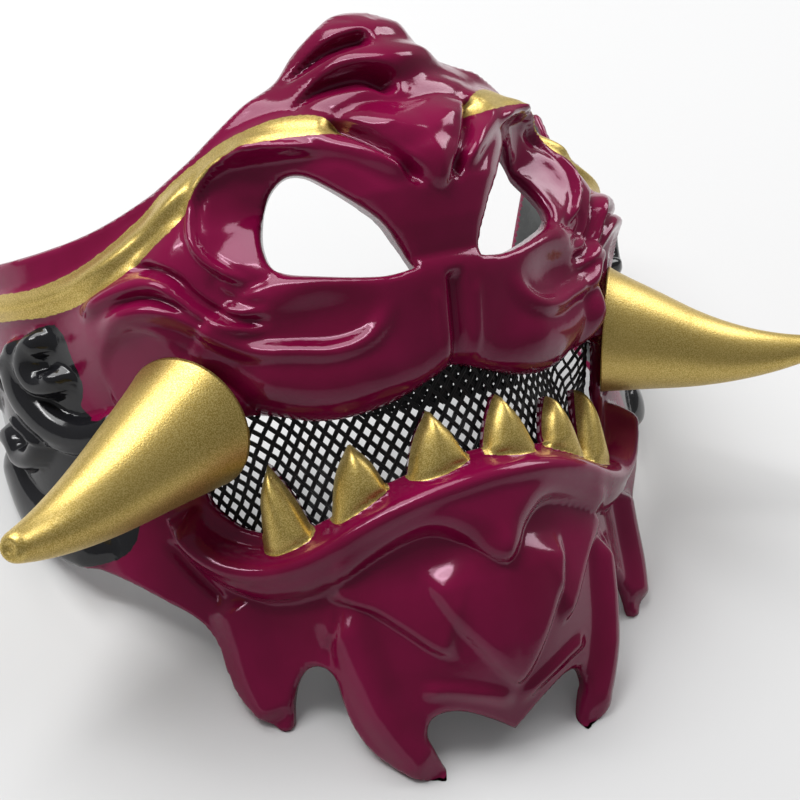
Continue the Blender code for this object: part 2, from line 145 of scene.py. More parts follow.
def ridge(points, path, width, height, taper=0.15):  # a soft ridge or groove along a path
    away, along, _ = toLine(points, onPattern((path,)))
    return height * bump(away / width) * fading(along, taper)


def slot(points, path, width, height, widens=0.7, ends=0.07):  # a crescent from a point to a blunt end
    away, along, _ = toLine(points, onPattern((path,)))
    size = np.sqrt(ease(along / widens) * ease((1 - along) / ends)) + 1e-6
    return height * size * bump(away / (width * size))


def roll(points, path, width, height, taper=0.1):  # a half-round bead whose width tapers too
    away, along, _ = toLine(points, onPattern((path,)))
    size = fading(along, taper) ** 0.5 + 1e-6
    return height * size * np.sqrt(np.maximum(1 - (away / (width * size)) ** 2, 0))


def lap(points, path, height, edge, fade, taper=0.15, by=0.8):
    # The right-hand side of the path stands up as a quarter circle and sinks back as a bell curve.
    away, along, side = toLine(points, onPattern((path,)))
    raised = rounded(softened(away, by) / edge) * np.exp(-((away / fade) ** 2))
    return np.where(side < 0, height * raised * fading(along, taper), 0.0)


def pad(points, runs, height, edge, by=1.3):  # a raised or sunken area with a rounded edge
    return height * rounded(softened(inside(points, onPattern(runs)), by) / edge)


def funnel(points, runs, depth, edge, by=1.5):  # a straight wall that runs down from a crisp rim
    return depth * np.minimum(softened(inside(points, onPattern(runs)), by) / edge, 1.0)


shapers = {"mounds": mound, "slots": slot, "ridges": ridge, "laps": lap, "pads": pad, "funnels": funnel}


def carve(points, region):  # every item of a region, added up
    lift = np.zeros(len(points))
    for kind, shape in shapers.items():
        for item in region.get(kind, ()):
            lift += shape(points, *item)
    return lift


headForm = {
    "profile": ((-10, 90), (0, 90), (11, 91), (27, 98), (42, 102), (64, 106), (100, 106), (122, 106),
                (131, 107.5), (147, 112.5), (155, 115), (165, 118.5), (175, 122), (186, 124), (196, 121.5),
                (206, 116.5), (216, 111), (228, 103), (238, 94), (250, 84), (262, 78)),  # height and radius
    "side": 94.0,  # radius of the side wall
    "temple": (26.0, 38, 54),  # rise, from this angle on, over this many degrees
    "rear": (2.0, 90, 20),
    "spread": 30.0,  # degrees over which the middle's profile fades into the side
    "cheekSpread": (20.0, 165, 48),  # more, about this height, over this many units
    "crownSpread": (9.0, 205, 25),  # less, from this height on, over this many units
}

trimLines = {
    "outer": (
        ((-8, 249), (0, 250), (5, 248.5), (10, 243.5), (15, 238), (20, 230), (27, 224), (34, 217), (42, 209),
         (50, 203.5), (60, 198.5), (70, 197), (80, 197.8), (86, 200), (89.5, 208), (91, 218), (92.5, 226)),
        ((92.5, 226), (95.5, 222), (99, 209), (106, 188), (110, 174), (111.5, 163.5)),
        ((111.5, 163.5), (108, 152), (104, 141.6), (100, 131.5), (96, 121.4), (92, 112), (86, 103),
         (80, 96.5), (74, 91), (68, 84.5), (62, 76), (57.5, 69), (55, 61), (54.3, 51), (53, 42), (50, 34.5),
         (46.5, 27.5)),
        ((46.5, 27.5), (44.6, 29), (43.4, 36), (41.5, 42.5), (38.5, 46.8), (35.5, 46.5), (33.6, 42.5),
         (33.2, 35), (32.4, 26), (30, 16.5), (26, 9), (21.5, 3.5), (17.4, 0)),
        ((17.4, 0), (16.7, 5), (17.8, 12), (18.7, 18), (17.2, 22.8), (14, 24), (10, 22), (5, 17), (0, 11.2)),
        ((0, 11.2), (-8, 6), (-16, 20)),
    ),
    "eye": (
        ((5.5, 162), (10, 161.5), (15, 163.3), (20, 166), (24.5, 168.8), (26.8, 172), (27.7, 178),
         (27.6, 184), (26.6, 190), (24.6, 195.3), (21.6, 198.2), (18.6, 197), (15.5, 192), (12, 185),
         (9, 178), (7, 170), (5.5, 162)),
    ),
    "mouth": (
        ((-6, 128), (0, 131), (4, 128.8), (9, 125.5), (14, 123.2), (20, 122.2), (26, 123.4), (32, 127),
         (38, 130)),
        ((38, 130), (45, 124), (50, 113), (50.5, 106), (47.5, 98.5), (43.5, 93.5), (36, 90), (28, 92.5),
         (21, 97), (13, 100.6), (6, 102.6), (0, 103.5), (-6, 102.6)),
        ((-6, 102.6), (-6, 128)),
    ),
    "edgeRadius": 1.5,  # units, as the next two
    "edgeDrop": 1.3,
    "overspray": 2.5,  # the lacquer runs this far round onto the inside
    "bare": -9.0,  # distance given to the inside, which has no gold and no black
}

teeth = {
    "each": (  # inner side up to the tip, outer side down, and the base behind the lip
        (((1.4, 101), (3.6, 111), (6.7, 119.4)), ((6.7, 119.4), (10.2, 110.5), (12.6, 99.5)),
         ((12.6, 99.5), (10.6, 95.6), (6.4, 95.4), (1.4, 101))),
        (((16.0, 97.5), (17.9, 107), (21, 114.6)), ((21, 114.6), (24.8, 105), (27.2, 91.5)),
         ((27.2, 91.5), (25.4, 88.4), (21, 91), (16.0, 97.5))),
        (((30.4, 87.5), (33.2, 101.5), (37, 113.4)), ((37, 113.4), (39.9, 103), (41.3, 86)),
         ((41.3, 86), (38.8, 81.6), (34.2, 83.2), (30.4, 87.5))),
    ),
    "height": 6.6,  # above the plain head form
    "edge": 9.0,
    "soft": 0.3,
    "goldPast": 0.6,  # units that the gold runs past the outline
    "goldSunk": 0.2,  # and down below the lip
}

tuskSeat = {
    "middle": (78.3, 131.4, -18.5),  # across, up and out of the face, in units
    "facing": (0.790, -0.283, 0.544),
    "edge": 1.6,
    "soft": 0.5,
    "outline": (
        ((60.5, 128), (61.5, 140), (60.5, 150), (58.8, 157), (56, 161.5), (52.5, 163.8), (49, 163.2),
         (46.3, 160), (44, 154), (42, 147.5), (39.4, 141), (37, 134), (37, 124), (40.5, 114), (47, 107.5),
         (54, 108), (59, 116), (60.5, 128)),
    ),
}

forehead = {
    "slots": [
        (((19.5, 228), (14.5, 231.6), (9.4, 235.2), (5, 237.0), (0.6, 237.4)), 3.6, -7.5),
        (((19, 217), (13.4, 222.4), (8.6, 224.4), (4.2, 223.8), (0.2, 218.6)), 4.8, -8.0),
    ],
    "mounds": [((0, 236), (32, 24), 7.0), ((0, 243), (22, 9), 3.0), ((19, 238), (22, 17), -9.0), ((0, 229),
               (28, 9), 3.5), ((4, 205), (10, 9), 1.2), ((0, 192), (9, 9), 1.5), ((11, 218), (15, 6), 1.6)],
    "ridges": [
        (((20, 226), (14, 229.2), (8, 231.6), (3, 231.4)), 2.6, 0.8, 0.3),
        (((9, 245.5), (5, 246.8), (1.5, 245)), 2.2, -0.8),
        (((9, 208), (6, 206), (3.5, 208.5)), 2.0, 0.5),
    ],
    "pads": [
        ((((-11.5, 211.5), (-7, 215), (0, 213.4), (7, 215), (11.5, 211.5), (9.4, 204), (6.8, 197.5),
           (4.2, 192), (0, 183), (-4.2, 192), (-6.8, 197.5), (-9.4, 204), (-11.5, 211.5)),), 6.4, 14.0, 2.0),
    ],
}

leftSide = {  # on the mask's own left the grooves are barely there and the cheek hides the tusk's base
    "slots": [
        (((19.5, 228), (14.5, 231.6), (9.4, 235.2), (5, 237.0), (0.6, 237.4)), 3.6, 6.6),
        (((19, 217), (13.4, 222.4), (8.6, 224.4), (4.2, 223.8), (0.2, 218.6)), 4.8, 7.0),
    ],
    "mounds": [((38, 203), (14, 13), -4.5), ((34.8, 134), (10, 24), 7.0)],
}

brow = {
    "ridges": [
        (((11, 207.5), (15, 211), (21, 213.4), (28, 211.6), (34, 207), (40, 200.8), (46, 195), (51.5, 189.2),
          (57, 184.8), (64, 181.7), (74, 181.2), (85, 184.5), (97, 188)), 6.6, 4.2, 0.05),
        (((36, 202.5), (41, 196.5), (46.5, 190.2), (52, 184.8), (58, 181), (64, 179), (75, 179), (86, 181.5)),
         2.4, -0.9, 0.1),
        (((2.8, 188), (5.6, 193.2), (9.6, 199.4), (14, 204), (19, 207), (26, 209.4), (31, 208.4)),
         5.6, 4.6, 0.15),
        (((2.2, 184.6), (4.6, 193.4), (7.2, 199.6), (9.6, 205.6), (12, 209.4), (14.5, 212.4)),
         2.8, -5.0, 0.2),
        (((15, 202.4), (20, 206), (25, 208), (29.5, 208.4), (33.6, 206), (36.4, 201), (37.9, 194.5),
          (38, 187), (36.6, 179.5), (33.4, 172.8), (29.6, 168)), 2.4, 3.0, 0.12),
    ],
    "mounds": [((41, 192), (15, 26), 4.0)],
}

eyeSocket = {
    "funnels": [
        ((((4.5, 162), (9, 160), (16, 161.5), (23, 165), (28, 169), (32.2, 174.4), (35.2, 181), (36.4, 188.5),
           (35.8, 196), (33.4, 203), (29, 207), (23.5, 207.3), (17, 202.5), (11, 193.8), (7.5, 184), (5, 172),
           (4.5, 162)),), -11.5, 15.0),
    ],
    "ridges": [
        (((34, 176), (36, 170), (33, 164), (27, 160.5)), 2.6, -1.2, 0.25),
    ],
}

cheek = {
    "mounds": [((49, 163), (38, 36), 11.0), ((21, 155), (19, 10), -3.0)],
    "ridges": [
        (((62, 172), (55, 175.5), (50.5, 176.6), (47, 176.6), (43.8, 174.4), (41, 169.4), (38.2, 163),
          (34.4, 157.6), (29, 154.4)), 4.6, 3.6),
        (((50.8, 180.6), (48.4, 181.4), (45.4, 179.4), (42, 175.2), (40, 169.6), (37.2, 163.2), (33.2, 158),
         (28, 156.5)), 2.8, -4.2),
        (((58, 164), (52, 168), (47, 167.8), (43, 164.8), (39.8, 160), (36.6, 153.8), (32.4, 148.6),
          (26, 145.5), (20, 143), (15, 144.4), (11.8, 149.5), (10.3, 157)), 4.4, 3.2),
        (((54, 172), (49, 172.6), (45.2, 170.4), (42, 166.6), (39.4, 161.6), (36, 156)), 2.2, -2.0, 0.2),
    ],
}

upperLip = {
    "pads": [
        ((((-14, 123.5), (-8, 126), (0, 131), (4, 128.8), (9, 125.5), (14, 123.2), (20, 122.2), (26, 123.4),
           (32, 127), (38, 131)),
          ((38, 131), (44, 150), (30, 168), (10, 165), (-14, 165)), ((-14, 165), (-14, 123.5))), 4.5, 9.0),
    ],
    "ridges": [
        (((6, 139), (14, 134), (23, 133), (32, 138), (40, 146)), 15.0, 5.5, 0.3),
        (((0, 160), (0, 145), (0, 126)), 3.4, -4.2, 0.1),
        (((3.4, 156), (3, 142), (2.6, 129)), 2.4, 1.0, 0.2),
    ],
}

lowerLip = {
    "pads": [
        ((((-12, 80.8), (-6, 75.5), (0, 66.5), (6, 75.5), (10, 80.2), (14, 80.6), (20, 77.5), (27, 72.5),
           (34, 69.4), (42, 69.8), (48.5, 75), (53.5, 83), (56.8, 92), (58.2, 103)),
          ((58.2, 103), (52.5, 105), (50.5, 97), (46.5, 90.5), (40, 87), (33, 87.8), (26, 92), (18, 96.8),
           (9, 100.2), (0, 101.4), (-12, 100)), ((-12, 100), (-12, 80.8))), 8.5, 8.5, 2.2),
    ],
    "ridges": [
        (((-8, 95.5), (0, 96.3), (12, 94.3), (22, 89.5), (31, 84), (39, 82), (46, 85), (51, 92), (54.5, 102)),
         6.0, 3.4, 0.05),
        (((51, 72), (54, 79), (57, 87), (60, 97)), 2.6, -2.2, 0.2),
    ],
}

chin = {
    "mounds": [((0, 50), (40, 34), 4.0)],
    "laps": [
        (((15, 72), (12, 57), (8, 44), (0, 26.8), (-8, 44), (-12, 57), (-15, 72)), 3.8, 4.0, 26.0, 0.1),
        (((32, 68), (24.6, 61.5), (19.4, 53), (14.6, 44.2), (10.4, 40.6)), 3.4, 3.5, 14.0),
    ],
    "ridges": [
        (((19, 32.5), (14, 31.5), (8, 27.8), (3, 23.6), (0, 21)), 3.6, 2.0, 0.2),
        (((30, 66), (28, 45), (26, 28), (22, 12), (18, 3)), 11.0, 5.0, 0.16),
        (((50, 74), (49, 60), (48.5, 45), (46.5, 32)), 11.0, 4.0, 0.12),
        (((33.5, 46), (33, 52), (31, 58), (29, 66)), 2.2, -1.6, 0.3),
    ],
}

ear = {
    "rolls": [
        (((69.8, 159), (71.2, 154.2), (74.6, 155.4), (75.8, 161.5), (73.6, 167.6), (70, 167.2)),
         4.6, 6.6, 0.1),
        (((75, 170), (79.4, 163.5), (80, 154.6), (77.8, 146.4), (74.4, 139.6), (69.8, 135), (64.6, 134.4),
          (59.5, 137.6)), 6.2, 6.2, 0.08),
        (((85, 146), (79.8, 142), (79, 136.4), (82.4, 132.2), (87, 133.6), (88.6, 139), (93, 143.5)),
         4.4, 5.2, 0.1),
        (((95, 140), (95, 129), (88, 114), (78, 103), (69, 96)), 9.0, 5.0, 0.15),
    ],
    "ridges": [
        (((78.5, 168), (83.4, 160.5), (83.6, 151), (80.8, 143), (77.2, 135.8), (72.5, 130.8), (66.5, 129.6)),
         1.7, 1.6, 0.1),
        (((98, 150), (94, 158), (88, 160), (86, 153)), 4.0, 2.4, 0.2),
    ],
    "black": (
        ((69, 172.6), (72, 173), (76, 171.6), (83, 168.6), (90, 166.4), (98, 164.5), (114, 162)),
        ((114, 162), (114, 80)),
        ((114, 80), (80, 88), (77.5, 93), (72, 92.6), (66, 95.6), (62, 108), (57, 122), (55.4, 132),
         (58.4, 139.4), (61, 140.4), (63.6, 139), (66.2, 139.6), (68.6, 144.4), (66.8, 151), (66.8, 160),
         (67.2, 167.4), (69, 172.6)),
    ),
}

goldBand = (
    ((10.8, 206.4), (12.0, 210.2), (14.6, 214.2), (20, 216.6), (26, 215.8), (32, 213.8), (37, 210.6),
     (41.5, 206.8), (46.6, 201.9), (52, 196), (57.8, 190.6), (63.6, 187.4), (70, 185.8), (76, 186.4),
     (86, 189.6), (97, 193.5), (112, 196)),
    ((112, 196), (112, 187)),
    ((112, 187), (97, 183.2), (86, 179.8), (76.5, 177.4), (70, 175.6), (62, 175.9), (55, 178), (50, 182.2),
     (45, 187.4), (40, 193), (36.4, 201), (32.4, 207), (27, 209.6), (20, 208.8), (14.6, 207.0),
     (10.8, 206.4)),
)

ripple = {  # the slight unevenness of hand finishing
    "height": 0.12,
    "across": (7.3, 11.0),  # units for each radian of the two waves
    "up": (9.1, 8.3),
    "phase": 1.3,
}

settleOffsets = ((0.36, 0.14), (-0.14, 0.36), (-0.36, -0.14), (0.14, -0.36))  # units


def toothReach(points):  # signed distance to the outline of the nearest tooth
    return np.max([inside(points, onPattern(outline)) for outline in teeth["each"]], axis=0)


def toothRadius(points, reach):  # the head form, raised by a quarter round in from the tooth's outline
    return headRadius(points) + teeth["height"] * rounded(softened(reach, teeth["soft"]) / teeth["edge"])


def headRadius(points):
    # The side's radius, with a rise at the temple and one at the rear, plus what the middle's profile adds.
    # That part fades with the angle as a bell curve, which is wide at the cheekbones and narrow at the crown.
    angle, height = points[:, 0] / face["arc"], points[:, 1]
    knots = np.array(headForm["profile"], float)
    middle = np.interp(height, knots[:, 0], knots[:, 1])
    wider, cheekbone, cheekReach = headForm["cheekSpread"]
    narrower, crown, crownReach = headForm["crownSpread"]
    spread = headForm["spread"] + wider * bump((height - cheekbone) / cheekReach)
    spread = spread - narrower * ease((height - crown) / crownReach)
    radius = headForm["side"]
    for rise, start, over in (headForm["temple"], headForm["rear"]):
        radius = radius + rise * ease((np.abs(angle) - start) / over)
    return radius + (middle - headForm["side"]) * np.exp(-((angle / spread) ** 2))


def seatRadius(points):  # where a ray from the head's axis meets the plane of the seat
    angle, height = np.radians(points[:, 0] / face["arc"]), points[:, 1]
    across, up, out = tuskSeat["facing"]
    middle = tuskSeat["middle"]
    reach = across * middle[0] + up * (middle[1] - height) + out * (middle[2] + face["axisDepth"])
    return reach / (across * np.sin(angle) + out * np.cos(angle))


def rippled(points):  # two sine waves that cross, multiplied
    s, v = points[:, 0], points[:, 1]
    one = np.sin(s / ripple["across"][0] - v / ripple["up"][0] + ripple["phase"])
    two = np.sin(v / ripple["up"][1] + s / ripple["across"][1])
    return ripple["height"] * one * two


def carvedRadius(points):
    # The head form plus every region's carving and the highest scroll. A tooth stands where it is higher than
    # the lip, and the tusk's seat is cut flat. The second result is how far a tooth stands out of the lip.
    radius = headRadius(points)
    for region in (forehead, brow, eyeSocket, cheek, upperLip, lowerLip, chin, ear):
        radius = radius + carve(points, region)
    radius = radius + np.max([roll(points, *item) for item in ear["rolls"]], axis=0)
    lip = radius + rippled(points)
    reach = toothReach(points)
    tooth = toothRadius(points, reach)
    radius = np.where((reach > 0) & (tooth > lip), tooth, lip)
    within = softened(inside(points, onPattern(tuskSeat["outline"])), tuskSeat["soft"])
    radius = radius + (seatRadius(points) - radius) * rounded(within / tuskSeat["edge"])
    return radius, np.minimum(reach + teeth["goldPast"], tooth - lip + teeth["goldSunk"])


def settledRadius(points):  # the mean of the carving at four places close by, so that a steep edge stays even
    near = [carvedRadius(np.abs(points + offset)) for offset in settleOffsets]
    return sum(radius for radius, _ in near) / len(near), sum(front for _, front in near) / len(near)


def trimGap(points):  # signed distance to the trimmed edge, positive on material
    mouth = np.maximum(-inside(points, onPattern(trimLines["mouth"])), toothReach(points))
    eye = -inside(points, onPattern(trimLines["eye"]))
    return np.minimum(np.minimum(inside(points, onPattern(trimLines["outer"])), eye), mouth)


def onTable(across, up, out):  # face units turned back by the tilt, in metres, before the shift on the table
    lean = radians(face["tilt"])
    away, high = up * cos(lean) - out * sin(lean), up * sin(lean) + out * cos(lean)
    return unit * np.column_stack([across, away, high])


def wrapped(points, radius):  # pattern points rolled round the head's axis
    angle = np.radians(points[:, 0] / face["arc"])
    return onTable(radius * np.sin(angle), points[:, 1], radius * np.cos(angle) - face["axisDepth"])


def clipped(gap, faces):
    # A triangle with one or two corners off the material is cut where the gap passes zero. The crossing on an
    # edge from a to b lies at the share gap(a) / (gap(a) - gap(b)).
    inner = gap[faces] >= 0
    keep = (gap[faces] > 0).any(1)
    faces, inner = faces[keep], inner[keep]
    count = inner.sum(1)
    whole = faces[count == 3]
    odd = np.where(count == 1, inner.argmax(1), (~inner).argmax(1))
    turned = np.take_along_axis(faces, (odd[:, None] + np.arange(3)) % 3, 1)
    one, two = turned[count == 1], turned[count == 2]
    ends = np.vstack([one[:, [0, 1]], one[:, [0, 2]], two[:, [1, 0]], two[:, [2, 0]]])  # inner corner first
    edges, place = np.unique(ends, axis=0, return_inverse=True)
    met = np.where(gap[ends[:, 0]] == 0, ends[:, 0], len(gap) + place.reshape(-1))
    metOne, metTwo = np.split(met[:2 * len(one)], 2), np.split(met[2 * len(one):], 2)
    small = np.column_stack([one[:, 0], metOne[0], metOne[1]])
    wide = np.vstack([np.column_stack([metTwo[0], two[:, 1], two[:, 2]]),
                      np.column_stack([metTwo[0], two[:, 2], metTwo[1]])])
    made = np.vstack([whole, small, wide])
    real = (made[:, 0] != made[:, 1]) & (made[:, 1] != made[:, 2]) & (made[:, 0] != made[:, 2])
    share = gap[edges[:, 0]] / (gap[edges[:, 0]] - gap[edges[:, 1]])
    return made[real], edges, share


def trimmedPattern():
    # An even grid over half the face. A point near the outline moves onto it along the slope of the gap, by
    # the gap over the slope squared.
    columns = np.arange(0, face["width"] * face["arc"] + face["step"], face["step"])
    rows = np.arange(face["low"], face["high"] + face["step"], face["step"])
    points = np.stack(np.meshgrid(columns, rows), -1).reshape(-1, 2)
    across, up = len(columns), len(rows)
    gap = trimGap(points)
    rise, run = np.gradient(gap.reshape(up, across), face["step"])
    slope = np.column_stack([run.ravel(), rise.ravel()])
    slope[points[:, 0] == 0, 0] = 0.0
    steep = (slope**2).sum(1)
    near = (np.abs(gap) < face["snap"] * face["step"]) & (steep > face["level"])
    points[near] -= (gap / np.maximum(steep, face["level"]))[near, None] * slope[near]
    gap[near] = 0.0
    corner = (np.arange(up - 1)[:, None] * across + np.arange(across - 1)[None]).ravel()
    faces = np.vstack([np.column_stack([corner, corner + 1, corner + across + 1]),
                       np.column_stack([corner, corner + across + 1, corner + across])])
    return points, gap, faces, (up, across)


def neighbours(grid):  # the grid moved to each of the nine places round a point
    wide = np.pad(grid, 1, mode="edge")
    rows, columns = grid.shape
    return [wide[i:i + rows, j:j + columns] for i in range(3) for j in range(3)]


def innerRadius(radius, shape):  # the lowest of the carving near each point, smoothed, less the wall
    low = radius.reshape(shape)
    for _ in range(face["passes"]):
        low = np.min(neighbours(low), axis=0)
    for _ in range(face["passes"]):
        low = np.minimum(low, np.mean(neighbours(low), axis=0))
    return low.ravel() - face["wall"]


def meshFrom(name, points, faces, shift):
    mesh = bpy.data.meshes.new(name)
    mesh.from_pydata((points + (0, shift, 0)).tolist(), [], faces.tolist())
    mesh.update()
    mesh.shade_smooth()
    return mesh


def addPiece(name, mesh, materials, slot, *nodes):
    piece = bpy.data.objects.new(name, mesh)
    for material in materials:
        mesh.materials.append(material)
    bpy.context.scene.collection.objects.link(piece)
    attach(piece, "root")
    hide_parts(*nodes)
    return piece


def newMaterial(name, colour, roughness, metallic=0.0):
    material = bpy.data.materials.new(name)
    material.use_nodes = True
    shader = material.node_tree.nodes["Principled BSDF"]
    shader.inputs["Base Color"].default_value = (*colour, 1.0)
    shader.inputs["Roughness"].default_value = roughness
    shader.inputs["Metallic"].default_value = metallic
    return material, material.node_tree.nodes, material.node_tree.links, shader


def noiseAt(nodes, links, scale, detail):  # features for each metre, and how many finer layers
    place = nodes.new("ShaderNodeTexCoord")
    noise = nodes.new("ShaderNodeTexNoise")
    noise.inputs["Scale"].default_value = scale
    noise.inputs["Detail"].default_value = detail
    links.new(place.outputs["Object"], noise.inputs["Vector"])
    return noise.outputs["Fac"]


def ranged(nodes, links, value, low, high, toLow=0.0, toHigh=1.0):  # an eased step from low to high
    node = nodes.new("ShaderNodeMapRange")
    node.interpolation_type = "SMOOTHSTEP"
    for name, amount in (("From Min", low), ("From Max", high), ("To Min", toLow), ("To Max", toHigh)):
        node.inputs[name].default_value = amount
    links.new(value, node.inputs["Value"])
    return node.outputs["Result"]


def summed(nodes, links, one, other, factor):  # one + other x factor
    node = nodes.new("ShaderNodeMath")
    node.operation = "MULTIPLY_ADD"
    links.new(other, node.inputs[0])
    node.inputs[1].default_value = factor
    links.new(one, node.inputs[2])
    return node.outputs[0]


def mixed(nodes, links, share, one, other):  # colours, each a tuple or a socket
    node = nodes.new("ShaderNodeMix")
    node.data_type = "RGBA"
    links.new(share, node.inputs["Factor"])
    for socket, value in ((node.inputs[6], one), (node.inputs[7], other)):
        if isinstance(value, tuple):
            socket.default_value = (*value, 1.0)
        else:
            links.new(value, socket)
    return node.outputs[2]


def bumped(nodes, links, shader, height, strength, distance):  # distance in metres
    node = nodes.new("ShaderNodeBump")
    node.inputs["Strength"].default_value = strength
    node.inputs["Distance"].default_value = distance
    links.new(height, node.inputs["Height"])
    links.new(node.outputs["Normal"], shader.inputs["Normal"])


# Each noise is a pair: features for each metre, and its detail. Each range is the noise that counts as 0 and
# as 1, and each bump is its strength and its distance in metres.
lacquerFinish = {
    "magenta": ((0.200, 0.0030, 0.044), (0.150, 0.0018, 0.030)),  # thin, and where it lies thicker
    "roughness": 0.12,
    "gloss": (1.0, 0.62, 0.80),  # the colour of its reflections
    "plainGloss": (1.0, 1.0, 1.0),
    "black": (0.010, 0.010, 0.012),
    "blotchNoise": (28.0, 3.0),
    "blotchRange": (0.35, 0.70),
    "brushNoise": (420.0, 3.0),  # a painted edge isn't quite even
    "brushReach": 1.1,  # units
    "brushRange": (0.40, 0.75),
    "peelNoise": (260.0, 2.0),  # orange peel of the sprayed lacquer
    "peelBump": (0.10, 0.0006),
}

goldFinish = {
    "flake": (0.74, 0.575, 0.205),
    "ground": (0.47, 0.325, 0.07),
    "worn": (0.66, 0.48, 0.15),
    "roughness": 0.40,
    "metallic": 0.80,
    "grainNoise": (2600.0, 1.0),
    "grainRange": (0.36, 0.66),
    "wornNoise": (45.0, 3.0),
    "wornRange": (0.30, 0.75, 0.0, 0.35),  # at most a third worn
    "bumpNoise": (1500.0, 2.0),
    "bump": (0.22, 0.0003),
}

insideFinish = {
    "colour": ((0.035, 0.036, 0.036), (0.085, 0.09, 0.088)),
    "roughness": 0.55,
    "blotchNoise": (60.0, 4.0),
    "blotchRange": (0.30, 0.70),
    "bumpNoise": (700.0, 3.0),
    "bump": (0.25, 0.0006),
}

threadFinish = {
    "colour": ((0.006, 0.006, 0.007), (0.016, 0.016, 0.018)),
    "roughness": 0.5,
    "twist": 900.0,  # turns for each metre
    "bump": (0.3, 0.0001),
}


def goldColour(nodes, links):
    grain = ranged(nodes, links, noiseAt(nodes, links, *goldFinish["grainNoise"]), *goldFinish["grainRange"])
    return mixed(nodes, links, grain, goldFinish["ground"], goldFinish["flake"])


def lacquer():
    # Black lies over magenta and gold over both, each where its edge distance plus a little noise is above
    # the brush range. The gold's mask also turns the paint metallic and rougher.
    material, nodes, links, shader = newMaterial("magentaGoldBlackLacquer", lacquerFinish["magenta"][0],
                                                 lacquerFinish["roughness"])
    wobble = noiseAt(nodes, links, *lacquerFinish["brushNoise"])
    masks = {}
    for name in ("goldEdge", "blackEdge"):
        edge = nodes.new("ShaderNodeAttribute")
        edge.attribute_name = name
        line = summed(nodes, links, edge.outputs["Fac"], wobble, lacquerFinish["brushReach"])
        masks[name] = ranged(nodes, links, line, *lacquerFinish["brushRange"])
    blotch = noiseAt(nodes, links, *lacquerFinish["blotchNoise"])
    red = mixed(nodes, links, ranged(nodes, links, blotch, *lacquerFinish["blotchRange"]),
                *lacquerFinish["magenta"])
    colour = mixed(nodes, links, masks["blackEdge"], red, lacquerFinish["black"])
    links.new(mixed(nodes, links, masks["goldEdge"], colour, goldColour(nodes, links)),
              shader.inputs["Base Color"])
    tint = mixed(nodes, links, masks["blackEdge"], lacquerFinish["gloss"], lacquerFinish["plainGloss"])
    links.new(mixed(nodes, links, masks["goldEdge"], tint, lacquerFinish["plainGloss"]),
              shader.inputs["Specular Tint"])
    for name, plain, gilt in (("Metallic", 0.0, goldFinish["metallic"]),
                              ("Roughness", lacquerFinish["roughness"], goldFinish["roughness"])):
        links.new(ranged(nodes, links, masks["goldEdge"], 0.0, 1.0, plain, gilt), shader.inputs[name])
    peel = noiseAt(nodes, links, *lacquerFinish["peelNoise"])
    bumped(nodes, links, shader, peel, *lacquerFinish["peelBump"])
    return material


def insidePaint():
    material, nodes, links, shader = newMaterial("insideGreyBlack", insideFinish["colour"][0],
                                                 insideFinish["roughness"])
    blotch = noiseAt(nodes, links, *insideFinish["blotchNoise"])
    links.new(mixed(nodes, links, ranged(nodes, links, blotch, *insideFinish["blotchRange"]),
                    *insideFinish["colour"]), shader.inputs["Base Color"])
    bumped(nodes, links, shader, noiseAt(nodes, links, *insideFinish["bumpNoise"]), *insideFinish["bump"])
    return material


def satinGold():
    material, nodes, links, shader = newMaterial("satinGold", goldFinish["flake"], goldFinish["roughness"],
                                                 goldFinish["metallic"])
    worn = noiseAt(nodes, links, *goldFinish["wornNoise"])
    links.new(mixed(nodes, links, ranged(nodes, links, worn, *goldFinish["wornRange"]),
                    goldColour(nodes, links), goldFinish["worn"]), shader.inputs["Base Color"])
    bumped(nodes, links, shader, noiseAt(nodes, links, *goldFinish["bumpNoise"]), *goldFinish["bump"])
    return material


def netThread():
    material, nodes, links, shader = newMaterial("blackThread", threadFinish["colour"][0],
                                                 threadFinish["roughness"])
    place = nodes.new("ShaderNodeTexCoord")
    wave = nodes.new("ShaderNodeTexWave")
    wave.inputs["Scale"].default_value = threadFinish["twist"]
    links.new(place.outputs["Object"], wave.inputs["Vector"])
    links.new(mixed(nodes, links, wave.outputs["Fac"], *threadFinish["colour"]), shader.inputs["Base Color"])
    bumped(nodes, links, shader, wave.outputs["Fac"], *threadFinish["bump"])
    return material


def rimOf(faces, size):  # the edges that only one triangle has, in the direction of that triangle
    ways = np.vstack([faces[:, [0, 1]], faces[:, [1, 2]], faces[:, [2, 0]]])
    key = ways.min(1).astype(np.int64) * size + ways.max(1)
    _, first, count = np.unique(key, return_index=True, return_counts=True)
    return ways[first[count == 1]]


